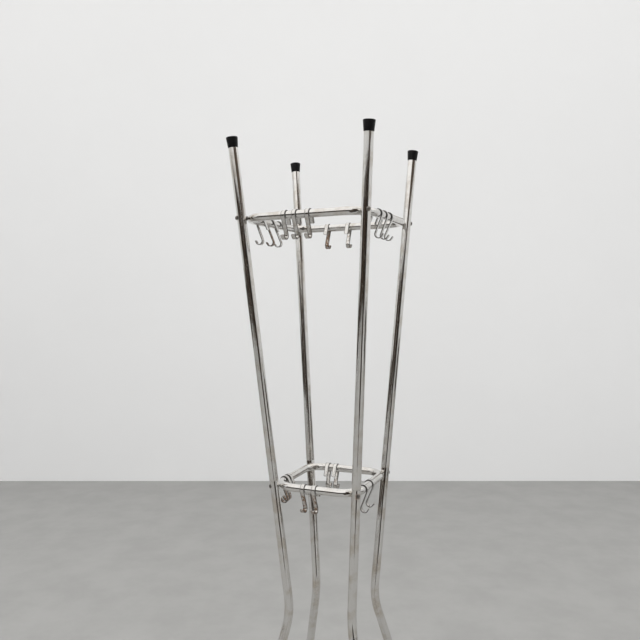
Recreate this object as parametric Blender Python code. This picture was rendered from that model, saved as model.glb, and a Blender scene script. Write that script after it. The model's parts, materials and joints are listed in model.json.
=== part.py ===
"""Four way clothing rack.

Four posts of round tube lean outwards towards the top. Two rings, each a rounded square of thinner
tube, hold them together from inside. Each post is an upper tube whose swaged spigot fits the bent
leg below it, just above the lower ring. Loose hooks of flat strip hang on the rings' four sides.
Origin at the middle of the floor, +Z up, metres. The front faces -Y.
"""

import bpy
import bmesh
from math import atan, atan2, cos, pi, radians, sin, sqrt, tan
from mathutils import Matrix, Vector

# Post tubes
POST_RADIUS = 0.0125
TUBE_WALL = 0.0015
TUBE_SIDES = 16
GAP = 0.0003

# Rings
UPPER_RING_HEIGHT = 1.572
LOWER_RING_HEIGHT = 0.836
UPPER_POST_OFFSET = 0.1775  # post centre from the middle plane, at the upper ring
LOWER_POST_OFFSET = 0.1205
RING_RADIUS = 0.011
UPPER_CORNER_RADIUS = 0.066
LOWER_CORNER_RADIUS = 0.052
UPPER_SPACER_ROOM = 0.004  # clear way between post and ring, along the diagonal
LOWER_SPACER_ROOM = 0.0005
RING_SIDES = 12
RING_BORE_SIDES = 8
CORNER_STEPS = 7

# Posts: ends, joint and bend
TUBE_TOP_HEIGHT = 1.7585
SEAM_ABOVE_LOWER_RING = 0.0165
SPIGOT_LENGTH = 0.062
SPIGOT_SHOULDER = 0.006
SPIGOT_CLEARANCE = 0.0006
BEND_HEIGHT = 0.470
BEND_RADIUS = 0.200
BEND_STEPS = 4
FOOT_OFFSET = 0.200  # middle of a foot from the middle plane, on the floor

# Plugs and feet
PLUG_SIDES = 16
PLUG_HEIGHT = 0.0283
PLUG_TOP_RADIUS = 0.0158
PLUG_EDGE_RADIUS = 0.0018
PLUG_DOME = 0.0012
PLUG_LIP = 0.0009  # the plug stands this far outside the tube at its lower edge
STEM_LENGTH = 0.022
FOOT_HEIGHT = 0.032
FOOT_FLARE_HEIGHT = 0.022

# Fasteners
BOLT_RADIUS = 0.0029
BOLT_HOLE_RADIUS = 0.0034
BOLT_HEAD_RADIUS = 0.0060
BOLT_HEAD_HEIGHT = 0.0045
SCREW_RADIUS = 0.0024
SCREW_HOLE_RADIUS = 0.0029
SCREW_HEAD_RADIUS = 0.0054
SCREW_HEAD_HEIGHT = 0.0022
SLOT_WIDTH = 0.0013
SLOT_DEPTH = 0.0011
NUT_ACROSS_CORNERS = 0.0115
NUT_HEIGHT = 0.0050
SMALL_NUT_ACROSS_CORNERS = 0.0090
SMALL_NUT_HEIGHT = 0.0040
NUT_STANDOFF = 0.0012
THREAD_SHOWING = 0.0020
FASTENER_SIDES = 12

# Hooks
STRIP_WIDTH = 0.0125
STRIP_THICKNESS = 0.0022
WRAP_CLEARANCE = 0.0005
TAIL_LENGTH = 0.030
SHANK_LENGTH = 0.048
HOOK_INNER_RADIUS = 0.009
HOOK_TURN = radians(170)
TIP_LENGTH = 0.008
WRAP_STEPS = 6
HOOK_STEPS = 5

# Where the hooks sit, along each side of a ring from its middle
HOOK_PLACES = {
    "upper": {
        "front": (-0.047, -0.017, 0.0205),
        "right": (-0.085, -0.040, 0.002),
        "back": (-0.076, -0.007),
        "left": (-0.072, -0.010, 0.038),
    },
    "lower": {
        "front": (-0.032, 0.001),
        "right": (-0.060, -0.008),
        "back": (-0.060, -0.034),
        "left": (-0.060, -0.040),
    },
}

# The turn about Z that brings a piece made for the front, or for +X, to each side and corner
SIDE_TURNS = {"front": 0.0, "right": pi / 2, "back": pi, "left": -pi / 2}
CORNER_TURNS = {
    "back_right": pi / 4,
    "back_left": 3 * pi / 4,
    "front_left": -3 * pi / 4,
    "front_right": -pi / 4,
}

# Worked out from the sizes above. A reach is a distance from the middle axis along a corner's diagonal.
SLOPE = sqrt(2) * (UPPER_POST_OFFSET - LOWER_POST_OFFSET) / (UPPER_RING_HEIGHT - LOWER_RING_HEIGHT)
LEAN = atan(SLOPE)
HALF_DEPTH = POST_RADIUS / cos(LEAN)  # of a leaning post, cut level
SEAM_HEIGHT = LOWER_RING_HEIGHT + SEAM_ABOVE_LOWER_RING
FOOT_REACH = sqrt(2) * FOOT_OFFSET
WRAP_RADIUS = RING_RADIUS + WRAP_CLEARANCE + STRIP_THICKNESS / 2
HOOK_RADIUS = HOOK_INNER_RADIUS + STRIP_THICKNESS / 2


def post_reach(height):
    """How far from the middle axis the straight part of a post's centreline is, at a height."""
    return sqrt(2) * LOWER_POST_OFFSET + (height - LOWER_RING_HEIGHT) * SLOPE


def ring_reach(height, spacer_room):
    """How far the centreline of a ring's corner is from the middle axis."""
    return post_reach(height) - HALF_DEPTH - spacer_room - RING_RADIUS


def ring_half_side(height, spacer_room, corner_radius):
    """The distance from the middle plane to a side's centreline."""
    return (ring_reach(height, spacer_room) + corner_radius * (sqrt(2) - 1)) / sqrt(2)


def clear_scene():
    for obj in list(bpy.data.objects):
        bpy.data.objects.remove(obj, do_unlink=True)


def material(name, colour, metallic, roughness):
    made = bpy.data.materials.new(name)
    made.use_nodes = True
    shader = made.node_tree.nodes["Principled BSDF"]
    shader.inputs["Base Color"].default_value = (*colour, 1.0)
    shader.inputs["Metallic"].default_value = metallic
    shader.inputs["Roughness"].default_value = roughness
    return made


def finished_mesh(bm, name):
    """The bmesh as a smooth-shaded mesh with its faces pointing out."""
    bmesh.ops.recalc_face_normals(bm, faces=bm.faces)
    mesh = bpy.data.meshes.new(name)
    bm.to_mesh(mesh)
    bm.free()
    mesh.shade_smooth()
    mesh.set_sharp_from_angle(angle=radians(35))
    return mesh


def place(name, mesh, finish, parent=None, location=(0, 0, 0), turn=(0, 0, 0)):
    obj = bpy.data.objects.new(name, mesh)
    bpy.context.scene.collection.objects.link(obj)
    if not mesh.materials:
        mesh.materials.append(finish)
    obj.parent = parent
    obj.location = location
    obj.rotation_euler = turn
    return obj


def turned(profile, sides, is_ring=False):
    """A turned solid from (radius, height) points. A ring's profile is a closed loop clear of the axis."""
    bm = bmesh.new()
    verts = [bm.verts.new((radius, 0, height)) for radius, height in profile]
    pairs = list(zip(verts, verts[1:])) + ([(verts[-1], verts[0])] if is_ring else [])
    edges = [bm.edges.new(pair) for pair in pairs]
    bmesh.ops.spin(
        bm, geom=verts + edges, cent=(0, 0, 0), axis=(0, 0, 1), angle=2 * pi, steps=sides, use_merge=True
    )
    bmesh.ops.remove_doubles(bm, verts=bm.verts, dist=1e-6)
    return bm


def rounded_edge(radius, height, edge, steps=3):
    """Points round the outer corner of a turned profile, from its side to its top."""
    angles = [step * pi / 2 / steps for step in range(steps + 1)]
    return [(radius - edge + edge * cos(angle), height - edge + edge * sin(angle)) for angle in angles]


def arc(centre, radius, start, end, steps):
    """(point, normal angle) pairs on an arc. A negative radius puts the normal towards the centre."""
    pairs = []
    for step in range(steps + 1):
        angle = start + (end - start) * step / steps
        pairs.append((Vector(centre) + radius * Vector((cos(angle), sin(angle))), angle))
    return pairs


def swept(bm, path, section, right, up, closed=False):
    """Sweeps a section along a flat path. The section is (along the path's normal, across its plane)."""
    across = right.cross(up)
    rows = []
    for point, angle in path:
        centre = right * point.x + up * point.y
        normal = right * cos(angle) + up * sin(angle)
        rows.append([bm.verts.new(centre + normal * out + across * side) for out, side in section])
    pairs = list(zip(rows, rows[1:])) + ([(rows[-1], rows[0])] if closed else [])
    for row, following in pairs:
        for index in range(len(section)):
            after = (index + 1) % len(section)
            bm.faces.new((row[index], row[after], following[after], following[index]))
    return rows


def circle(radius, sides):
    angles = [2 * pi * side / sides for side in range(sides)]
    return [(radius * cos(angle), radius * sin(angle)) for angle in angles]


def cylinder(name, radius, start, end, sides=FASTENER_SIDES):
    """A cutter whose axis runs from one point to the other."""
    start, end = Vector(start), Vector(end)
    bm = bmesh.new()
    bmesh.ops.create_cone(
        bm, cap_ends=True, segments=sides, radius1=radius, radius2=radius, depth=(end - start).length
    )
    tilt = Vector((0, 0, 1)).rotation_difference(end - start).to_matrix().to_4x4()
    bmesh.ops.transform(bm, matrix=Matrix.Translation((start + end) / 2) @ tilt, verts=bm.verts)
    return place(name, finished_mesh(bm, name), None)


def carved(mesh, cutters):
    """The mesh with every cutter taken away from it."""
    body = place("carving", mesh, None)
    for cutter in cutters:
        cut = body.modifiers.new(cutter.name, "BOOLEAN")
        cut.object = cutter
    bpy.context.view_layer.update()
    result = bpy.data.meshes.new_from_object(body.evaluated_get(bpy.context.evaluated_depsgraph_get()))
    for obj in [body, *cutters]:
        bpy.data.objects.remove(obj, do_unlink=True)
    result.shade_smooth()
    result.set_sharp_from_angle(angle=radians(35))
    return result


def upper_tube_mesh():
    """A straight tube in its corner's plane, leaning, with its lower end swaged down to a spigot."""
    length = (TUBE_TOP_HEIGHT - SEAM_HEIGHT) / cos(LEAN)
    spigot = POST_RADIUS - TUBE_WALL - SPIGOT_CLEARANCE
    bm = turned(
        [
            (POST_RADIUS, length),
            (POST_RADIUS, GAP),
            (spigot, GAP),
            (spigot, -SPIGOT_LENGTH),
            (spigot - TUBE_WALL, -SPIGOT_LENGTH),
            (spigot - TUBE_WALL, GAP),
            (POST_RADIUS - TUBE_WALL, GAP + SPIGOT_SHOULDER),
            (POST_RADIUS - TUBE_WALL, length),
        ],
        TUBE_SIDES,
        is_ring=True,
    )
    lean = Matrix.Rotation(LEAN, 4, "Y")
    seam = Matrix.Translation((post_reach(SEAM_HEIGHT), 0, SEAM_HEIGHT))
    bmesh.ops.transform(bm, matrix=seam @ lean, verts=bm.verts)
    return carved(
        finished_mesh(bm, "upper_tube"),
        [corner_hole("bolt_hole", BOLT_HOLE_RADIUS, UPPER_RING_HEIGHT),
         corner_hole("screw_hole", SCREW_HOLE_RADIUS, LOWER_RING_HEIGHT)],
    )


def corner_hole(name, radius, height):
    """A level cutter through a post and the ring's corner beside it."""
    inner, outer = post_reach(height) - 4 * POST_RADIUS, post_reach(height) + 2 * POST_RADIUS
    return cylinder(name, radius, (inner, 0, height), (outer, 0, height))


def leg_path():
    """The leg's centreline: down from the seam, round the bend, and out to the foot."""
    bend_reach = post_reach(BEND_HEIGHT)
    splay = atan((FOOT_REACH - bend_reach) / BEND_HEIGHT)
    tangent = BEND_RADIUS * tan((LEAN + splay) / 2)
    bend_start = Vector((bend_reach + tangent * sin(LEAN), BEND_HEIGHT + tangent * cos(LEAN)))
    centre = bend_start + BEND_RADIUS * Vector((cos(-LEAN), sin(-LEAN)))
    end = Vector((FOOT_REACH, 0)) + FOOT_HEIGHT * Vector((-sin(splay), cos(splay)))
    top = Vector((post_reach(SEAM_HEIGHT), SEAM_HEIGHT))
    bend = arc(centre, -BEND_RADIUS, -LEAN, splay, BEND_STEPS)
    return [(top, -LEAN), *bend, (end, splay)], splay


def lower_leg_mesh():
    path, _ = leg_path()
    bm = bmesh.new()
    right, up = Vector((1, 0, 0)), Vector((0, 0, 1))
    outer = swept(bm, path, circle(POST_RADIUS, TUBE_SIDES), right, up)
    inner = swept(bm, path, circle(POST_RADIUS - TUBE_WALL, TUBE_SIDES), right, up)
    for outer_row, inner_row in ((outer[0], inner[0]), (outer[-1], inner[-1])):
        for index in range(TUBE_SIDES):
            after = (index + 1) % TUBE_SIDES
            bm.faces.new((outer_row[index], outer_row[after], inner_row[after], inner_row[index]))
    hole = corner_hole("screw_hole", SCREW_HOLE_RADIUS, LOWER_RING_HEIGHT)
    return carved(finished_mesh(bm, "lower_leg"), [hole])


def ring_mesh(name, height, spacer_room, corner_radius, hole_radius):
    """A closed ring of tube, a rounded square seen from above, with a hole through each corner."""
    half_side = ring_half_side(height, spacer_room, corner_radius)
    path = []
    for corner in range(4):
        middle = pi / 4 + corner * pi / 2
        centre = sqrt(2) * (half_side - corner_radius) * Vector((cos(middle), sin(middle)))
        path += arc(centre, corner_radius, middle - pi / 4, middle + pi / 4, CORNER_STEPS)
    outer, bore = bmesh.new(), bmesh.new()
    right, up = Vector((1, 0, 0)), Vector((0, 1, 0))
    swept(outer, path, circle(RING_RADIUS, RING_SIDES), right, up, closed=True)
    swept(bore, path, circle(RING_RADIUS - TUBE_WALL, RING_BORE_SIDES), right, up, closed=True)
    cutters = [place("bore", finished_mesh(bore, "bore"), None)]
    reach = ring_reach(height, spacer_room)
    for turn in CORNER_TURNS.values():
        diagonal = Vector((cos(turn), sin(turn), 0))
        start, end = diagonal * (reach - 2 * RING_RADIUS), diagonal * (reach + 2 * RING_RADIUS)
        cutters.append(cylinder("hole", hole_radius, start, end))
    return carved(finished_mesh(outer, name), cutters)


def top_plug_mesh():
    """A black plug: a stem inside the tube, and a head that widens upwards to a softly domed top."""
    stem = POST_RADIUS - TUBE_WALL - SPIGOT_CLEARANCE
    bm = turned(
        [
            (0, -STEM_LENGTH),
            (stem, -STEM_LENGTH),
            (stem, GAP),
            (POST_RADIUS + PLUG_LIP, GAP),
            *rounded_edge(PLUG_TOP_RADIUS, PLUG_HEIGHT, PLUG_EDGE_RADIUS),
            (0, PLUG_HEIGHT + PLUG_DOME),
        ],
        PLUG_SIDES,
    )
    return finished_mesh(bm, "top_plug")


def foot_plug_mesh(splay):
    """The same plug in the splayed end of a leg, cut level where it stands on the floor."""
    stem = POST_RADIUS - TUBE_WALL - SPIGOT_CLEARANCE
    bm = turned(
        [
            (0, STEM_LENGTH),
            (stem, STEM_LENGTH),
            (stem, -GAP),
            (POST_RADIUS + PLUG_LIP, -GAP),
            (PLUG_TOP_RADIUS, -FOOT_FLARE_HEIGHT),
            (PLUG_TOP_RADIUS, -2 * FOOT_HEIGHT),
            (0, -2 * FOOT_HEIGHT),
        ],
        PLUG_SIDES,
    )
    end = Vector((FOOT_REACH - FOOT_HEIGHT * sin(splay), 0, FOOT_HEIGHT * cos(splay)))
    place_at_end = Matrix.Translation(end) @ Matrix.Rotation(-splay, 4, "Y")
    bmesh.ops.transform(bm, matrix=place_at_end, verts=bm.verts)
    everything = bm.verts[:] + bm.edges[:] + bm.faces[:]
    cut = bmesh.ops.bisect_plane(
        bm, geom=everything, plane_co=(0, 0, 0), plane_no=(0, 0, -1), clear_outer=True
    )["geom_cut"]
    bmesh.ops.contextual_create(bm, geom=[edge for edge in cut if isinstance(edge, bmesh.types.BMEdge)])
    return finished_mesh(bm, "foot_plug")


def bolt_mesh(name, radius, length, head_radius, head_height):
    """A domed bolt along +Z: its head starts at the origin and its thread runs down."""
    bulge = (head_radius**2 + head_height**2) / (2 * head_height)
    edge = atan2(head_radius, bulge - head_height)
    steps = 3
    dome = []
    for step in range(steps + 1):
        angle = edge * (1 - step / steps)
        dome.append((bulge * sin(angle), head_height - bulge + bulge * cos(angle)))
    dome[-1] = (0, head_height)
    bm = turned([(0, -length), (radius, -length), (radius, 0), *dome], FASTENER_SIDES)
    return finished_mesh(bm, name)


def slotted_mesh(mesh):
    """The bolt with a screwdriver slot across its head."""
    bm = bmesh.new()
    bmesh.ops.create_cube(bm, size=1.0)
    size = Matrix.Diagonal((4 * SCREW_HEAD_RADIUS, SLOT_WIDTH, 2 * SLOT_DEPTH, 1))
    bmesh.ops.transform(bm, matrix=Matrix.Translation((0, 0, SCREW_HEAD_HEIGHT)) @ size, verts=bm.verts)
    slot = place("slot", finished_mesh(bm, "slot"), None)
    return carved(mesh, [slot])


def nut_mesh(name, across_corners, height, hole_radius):
    """A hexagon nut along +Z, its upper face at the origin."""
    bm = bmesh.new()
    radius = across_corners / 2
    bmesh.ops.create_cone(bm, cap_ends=True, segments=6, radius1=radius, radius2=radius, depth=height)
    bmesh.ops.transform(bm, matrix=Matrix.Translation((0, 0, -height / 2)), verts=bm.verts)
    thread = cylinder("thread", hole_radius, (0, 0, -2 * height), (0, 0, height))
    return carved(finished_mesh(bm, name), [thread])


def spacer_mesh(length):
    """A short sleeve along +Z, its lower face at the origin."""
    profile = [
        (BOLT_HEAD_RADIUS, 0),
        (BOLT_HEAD_RADIUS, length),
        (BOLT_HOLE_RADIUS, length),
        (BOLT_HOLE_RADIUS, 0),
    ]
    return finished_mesh(turned(profile, FASTENER_SIDES, is_ring=True), "upper_spacer")


def hook_path():
    """The strip's centreline, seen along the bar: out from the bar is +X, and the bar is the origin."""
    bend = (WRAP_RADIUS + HOOK_RADIUS, -SHANK_LENGTH)
    wrap = arc((0, 0), WRAP_RADIUS, pi, 0, WRAP_STEPS)
    throat = arc(bend, -HOOK_RADIUS, 0, HOOK_TURN, HOOK_STEPS)
    last_point, last_angle = throat[-1]
    tip = last_point + TIP_LENGTH * Vector((sin(last_angle), -cos(last_angle)))
    return [(Vector((-WRAP_RADIUS, -TAIL_LENGTH)), pi), *wrap, *throat, (tip, last_angle)]


def hanging(path):
    """The path turned about the bar until its centre of mass is straight below, as a loose hook hangs."""
    total, moment = 0.0, Vector((0, 0))
    for (start, _), (end, _) in zip(path, path[1:]):
        length = (end - start).length
        total += length
        moment += (start + end) / 2 * length
    lean = atan2(moment.x, -moment.y)
    turn = Matrix.Rotation(-lean, 2)
    return [(turn @ point, angle - lean) for point, angle in path]


def hook_mesh():
    """One hook as it hangs on a front side: the bar runs along X, and out is -Y."""
    section = [
        (-STRIP_THICKNESS / 2, -STRIP_WIDTH / 2),
        (STRIP_THICKNESS / 2, -STRIP_WIDTH / 2),
        (STRIP_THICKNESS / 2, STRIP_WIDTH / 2),
        (-STRIP_THICKNESS / 2, STRIP_WIDTH / 2),
    ]
    bm = bmesh.new()
    rows = swept(bm, hanging(hook_path()), section, Vector((0, -1, 0)), Vector((0, 0, 1)))
    bm.faces.new(rows[0])
    bm.faces.new(rows[-1])
    return finished_mesh(bm, "hook")


def add_corners(chrome, zinc, rubber):
    """Everything that repeats at each post, placed in the plane of that corner's diagonal."""
    _, splay = leg_path()
    outward = (0, pi / 2, 0)
    upper_post, lower_post = post_reach(UPPER_RING_HEIGHT), post_reach(LOWER_RING_HEIGHT)
    upper_ring = ring_reach(UPPER_RING_HEIGHT, UPPER_SPACER_ROOM)
    lower_ring = ring_reach(LOWER_RING_HEIGHT, LOWER_SPACER_ROOM)
    # A flat face against a leaning post clears it by the lean over its own radius.
    bolt_seat = upper_post + HALF_DEPTH + BOLT_HEAD_RADIUS * SLOPE + GAP
    screw_seat = lower_post + HALF_DEPTH + SCREW_HEAD_RADIUS * SLOPE + GAP
    upper_nut_seat = upper_ring - RING_RADIUS - NUT_STANDOFF
    lower_nut_seat = lower_ring - RING_RADIUS - NUT_STANDOFF
    bolt_length = bolt_seat - upper_nut_seat + NUT_HEIGHT + THREAD_SHOWING
    screw_length = screw_seat - lower_nut_seat + SMALL_NUT_HEIGHT + THREAD_SHOWING
    spacer_length = UPPER_SPACER_ROOM - BOLT_HEAD_RADIUS * SLOPE - 2 * GAP
    plug_reach = post_reach(TUBE_TOP_HEIGHT)
    bolt = bolt_mesh("upper_bolt", BOLT_RADIUS, bolt_length, BOLT_HEAD_RADIUS, BOLT_HEAD_HEIGHT)
    screw = bolt_mesh("lower_screw", SCREW_RADIUS, screw_length, SCREW_HEAD_RADIUS, SCREW_HEAD_HEIGHT)
    upper_nut = nut_mesh("upper_nut", NUT_ACROSS_CORNERS, NUT_HEIGHT, BOLT_HOLE_RADIUS)
    lower_nut = nut_mesh("lower_nut", SMALL_NUT_ACROSS_CORNERS, SMALL_NUT_HEIGHT, SCREW_HOLE_RADIUS)
    spacer_seat = upper_ring + RING_RADIUS + GAP
    pieces = (
        ("upper_tube", upper_tube_mesh(), chrome, (0, 0, 0), (0, 0, 0)),
        ("lower_leg", lower_leg_mesh(), chrome, (0, 0, 0), (0, 0, 0)),
        ("top_plug", top_plug_mesh(), rubber, (plug_reach, 0, TUBE_TOP_HEIGHT), (0, LEAN, 0)),
        ("foot_plug", foot_plug_mesh(splay), rubber, (0, 0, 0), (0, 0, 0)),
        ("upper_bolt", bolt, zinc, (bolt_seat, 0, UPPER_RING_HEIGHT), outward),
        ("upper_spacer", spacer_mesh(spacer_length), zinc, (spacer_seat, 0, UPPER_RING_HEIGHT), outward),
        ("upper_nut", upper_nut, zinc, (upper_nut_seat, 0, UPPER_RING_HEIGHT), outward),
        ("lower_screw", slotted_mesh(screw), zinc, (screw_seat, 0, LOWER_RING_HEIGHT), outward),
        ("lower_nut", lower_nut, zinc, (lower_nut_seat, 0, LOWER_RING_HEIGHT), outward),
    )
    for corner, turn in CORNER_TURNS.items():
        plane = place_empty("corner_" + corner, (0, 0, 0), turn)
        for name, mesh, finish, location, piece_turn in pieces:
            place(f"{name}_{corner}", mesh, finish, plane, location, piece_turn)


def place_empty(name, location, turn):
    empty = bpy.data.objects.new(name, None)
    bpy.context.scene.collection.objects.link(empty)
    empty.location = location
    empty.rotation_euler = (0, 0, turn)
    return empty


def add_ring(level, height, spacer_room, corner_radius, hole_radius, chrome):
    """A ring and the hooks on it. A hook's origin is on its bar's axis, which it swings about."""
    hook = hook_mesh()
    mesh = ring_mesh(f"{level}_ring", height, spacer_room, corner_radius, hole_radius)
    place(f"{level}_ring", mesh, chrome, location=(0, 0, height))
    half_side = ring_half_side(height, spacer_room, corner_radius)
    for side, turn in SIDE_TURNS.items():
        for number, along in enumerate(HOOK_PLACES[level][side], start=1):
            # On the front and back a place runs along X, on the left and right along Y.
            out = {"front": (along, -half_side), "back": (along, half_side),
                   "right": (half_side, along), "left": (-half_side, along)}[side]
            name = f"hook_{level}_{side}_{number}"
            place(name, hook, chrome, location=(*out, height), turn=(0, 0, turn))


def main():
    clear_scene()
    chrome = material("chrome", (0.72, 0.71, 0.69), 1.0, 0.14)
    zinc = material("fastener_steel", (0.55, 0.52, 0.48), 1.0, 0.35)
    rubber = material("black_plastic", (0.012, 0.012, 0.013), 0.0, 0.42)
    add_corners(chrome, zinc, rubber)
    add_ring("upper", UPPER_RING_HEIGHT, UPPER_SPACER_ROOM, UPPER_CORNER_RADIUS, BOLT_HOLE_RADIUS, chrome)
    add_ring("lower", LOWER_RING_HEIGHT, LOWER_SPACER_ROOM, LOWER_CORNER_RADIUS, SCREW_HOLE_RADIUS, chrome)


main()
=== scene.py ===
"""The looks of a four way clothing rack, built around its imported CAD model.

Heights, reaches and leans are measured on the CAD nodes, and each node is replaced by a smooth and
detailed piece of the same size. A corner's pieces are made in the plane of that corner's diagonal, as
(reach from the middle axis, height), and turned about Z into place. The hooks hang a little further in
than the CAD ones, each by an angle of its own.
"""

import json
import random
from math import atan2, cos, pi, radians, sin, sqrt, tan

import bmesh
import bpy
from mathutils import Matrix, Vector


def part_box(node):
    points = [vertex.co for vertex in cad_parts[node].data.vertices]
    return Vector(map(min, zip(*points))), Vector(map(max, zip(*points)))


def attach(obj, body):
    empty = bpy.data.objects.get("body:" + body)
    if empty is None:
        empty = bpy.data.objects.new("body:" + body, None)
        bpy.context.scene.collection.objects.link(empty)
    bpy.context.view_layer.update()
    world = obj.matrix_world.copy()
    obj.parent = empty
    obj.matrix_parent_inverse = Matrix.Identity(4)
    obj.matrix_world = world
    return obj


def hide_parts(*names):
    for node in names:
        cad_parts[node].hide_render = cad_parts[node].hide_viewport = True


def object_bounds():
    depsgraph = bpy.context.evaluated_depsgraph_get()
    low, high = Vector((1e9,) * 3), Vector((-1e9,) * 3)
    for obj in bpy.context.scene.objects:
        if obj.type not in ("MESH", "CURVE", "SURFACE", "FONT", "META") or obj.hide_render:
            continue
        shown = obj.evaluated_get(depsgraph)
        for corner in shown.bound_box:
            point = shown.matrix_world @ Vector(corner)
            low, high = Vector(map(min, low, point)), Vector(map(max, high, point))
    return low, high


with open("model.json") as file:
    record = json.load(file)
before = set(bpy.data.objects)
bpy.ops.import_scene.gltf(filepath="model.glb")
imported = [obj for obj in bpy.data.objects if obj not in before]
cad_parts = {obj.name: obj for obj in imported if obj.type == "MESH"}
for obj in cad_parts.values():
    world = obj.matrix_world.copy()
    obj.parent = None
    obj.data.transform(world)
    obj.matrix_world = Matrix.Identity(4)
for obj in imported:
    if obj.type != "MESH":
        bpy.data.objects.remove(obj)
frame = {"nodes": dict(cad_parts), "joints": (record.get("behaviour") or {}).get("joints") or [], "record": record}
CAD_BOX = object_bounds()
RECORD = frame["record"]

# Fineness of the meshes
TUBE_SIDES = 64
RING_SIDES = 56
CORNER_STEPS = 28
BEND_STEPS = 24
TURNED_SIDES = 48
NUT_SIDES = 60
EDGE_STEPS = 4
SHARP_ANGLE = radians(42)
MERGE_DISTANCE = 1e-7

# Tubes
TUBE_WALL = 0.0015
TUBE_EDGE = 0.0006
SEAM_GAP = 0.0003
SPIGOT_CLEARANCE = 0.0006
SPIGOT_LENGTH = 0.062
BEND_RADIUS = 0.200
END_DEPTH = 0.010  # a CAD tube's end lies wholly within this height of its tip
RING_FLATTENING = 0.05  # how far bending squeezes the ring's tube at a corner

# Plugs
PLUG_TOP_RADIUS = 0.0158
PLUG_LIP = 0.0009
PLUG_EDGE = 0.0019
PLUG_LIP_HEIGHT = 0.0012
PLUG_CHAMFER = 0.0003
PLUG_DOME = 0.0012
PLUG_HEIGHT = 0.0281
PLUG_STEM = 0.022
GATE_MARK_RADIUS = 0.0016
GATE_MARK_DEPTH = 0.0004
GATE_MARK_FLOOR = 0.8  # its floor's radius, as a share of its rim's
FOOT_FLARE = 0.022
FOOT_FLARE_EDGE = 0.0010

# Fasteners
BOLT_RADIUS = 0.0029
BOLT_HEAD_RADIUS = 0.0060
BOLT_HEAD_HEIGHT = 0.0045
BOLT_FLANGE = 0.0009
SCREW_RADIUS = 0.0024
SCREW_HEAD_RADIUS = 0.0054
SCREW_HEAD_HEIGHT = 0.0022
SCREW_RIM = 0.0004
SLOT_WIDTH = 0.0013
SLOT_DEPTH = 0.0011
THREAD_PITCH = 0.0009
THREAD_DEPTH = 0.00035
THREAD_LENGTH = 0.012
NUT_HOLE_GAP = 0.0002
NUT_FACE = 0.97  # the flat face's radius, as a share of the way to the nut's side
SPACER_EDGE = 0.0003

# Hooks, bent from flat strip. Lengths and radii are those of the strip's middle line.
STRIP_WIDTH = 0.0125
STRIP_THICKNESS = 0.0022
STRIP_EDGE = 0.0007
STRIP_END_ROUND = 0.0025
WRAP_CLEARANCE = 0.0005
TAIL_LENGTH = 0.030
SHANK_LENGTH = 0.048
HOOK_RADIUS = 0.0101
HOOK_TURN = radians(170)
TIP_LENGTH = 0.008
HOOK_ARC_STEPS = 24
HOOK_DROP = 0.0004  # a hook rests on its bar, so it sits lower than the middle of its play
LARGEST_TWIST = radians(2.5)
TILTS = (radians(1.5), radians(6.5))  # how much further in than its balance each hook hangs

# How rusty each hook is, from 0 to 1. The others are only tarnished.
PLAIN_HOOK_RUST = 0.12
HOOK_RUST = {
    "hook_lower_front_1": 0.75,
    "hook_lower_front_2": 0.65,
    "hook_lower_left_1": 0.95,
    "hook_lower_left_2": 0.90,
    "hook_lower_back_1": 0.30,
    "hook_lower_back_2": 0.40,
    "hook_upper_front_1": 0.25,
    "hook_upper_front_2": 0.35,
    "hook_upper_front_3": 0.55,
    "hook_upper_back_1": 0.95,
    "hook_upper_back_2": 0.40,
    "hook_upper_left_1": 0.45,
    "hook_upper_left_2": 0.90,
}

# How cloudy and how pitted the tubes' chrome is, from 0 to 1
UPPER_TARNISH, UPPER_PITTING = 0.55, 0.8
LEG_TARNISH, LEG_PITTING = 0.75, 0.9
RING_TARNISH, RING_PITTING = {"upper": 0.50, "lower": 0.35}, 0.9

# How stained the tube is round each lower screw
SCREW_STAIN = {"front_right": 1.0, "front_left": 0.45, "back_left": 0.5, "back_right": 0.25}

# The camera
CAMERA_PLACE = (0.726, -1.715, 1.3535)
CAMERA_YAW = radians(23.77)
CAMERA_DIP = radians(1.892)
CAMERA_ROLL = radians(0.762)
CAMERA_LENS = 36.85
CAMERA_SENSOR = 36.0

# The studio. Its walls are turned a little from the camera's line of sight, and open above.
WALL_BEHIND = 2.95
WALL_BEFORE = 7.0
WALL_ASIDE = 5.2
WALL_HEIGHT = 4.2
WALL_CORNER = 0.8
WALL_YAW = radians(-2.7)
FLOOR_COLOUR = (0.375, 0.375, 0.368)
WALL_COLOUR = (0.83, 0.835, 0.84)
FLOOR_ROUGHNESS, FLOOR_MOTTLING, FLOOR_MOTTLE_SCALE = 0.7, 0.10, 5.0
WALL_ROUGHNESS, WALL_MOTTLING, WALL_MOTTLE_SCALE = 0.9, 0.02, 0.6
SKY_COLOUR = (1.0, 0.985, 0.965, 1)
SKY_STRENGTH = 1.15

# Cards that only reflections see: name, azimuths in degrees, distance, heights, colour, streaks.
# Azimuth 0 is on the camera's side, and it grows to the right.
CARD_STEPS = 24
CARD_BAND_SCALE, CARD_BAND_STRETCH, CARD_BAND_RANGE = 1.6, 0.05, (0.40, 0.62)
DARK, BROWN, GREY = (0.020, 0.017, 0.015), (0.090, 0.066, 0.050), (0.13, 0.11, 0.095)
CARDS = (
    ("dark_card", (-76, 36), 5.0, (0.42, 2.66), DARK, BROWN),
    ("dark_card_tail", (-122, -76), 5.0, (0.22, 1.22), DARK, BROWN),
    ("tall_card", (6, 46), 4.9, (2.66, 6.2), BROWN, GREY),
    ("high_card", (46, 84), 4.9, (2.9, 4.6), BROWN, GREY),
    ("standing_card", (-5, 22), 2.1, (0.0, 1.0), DARK, BROWN),
    ("near_card", (-1, 11), 1.45, (0.0, 1.2), DARK, BROWN),
    ("low_card", (64, 102), 4.2, (0.0, 0.72), DARK, BROWN),
)

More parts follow.
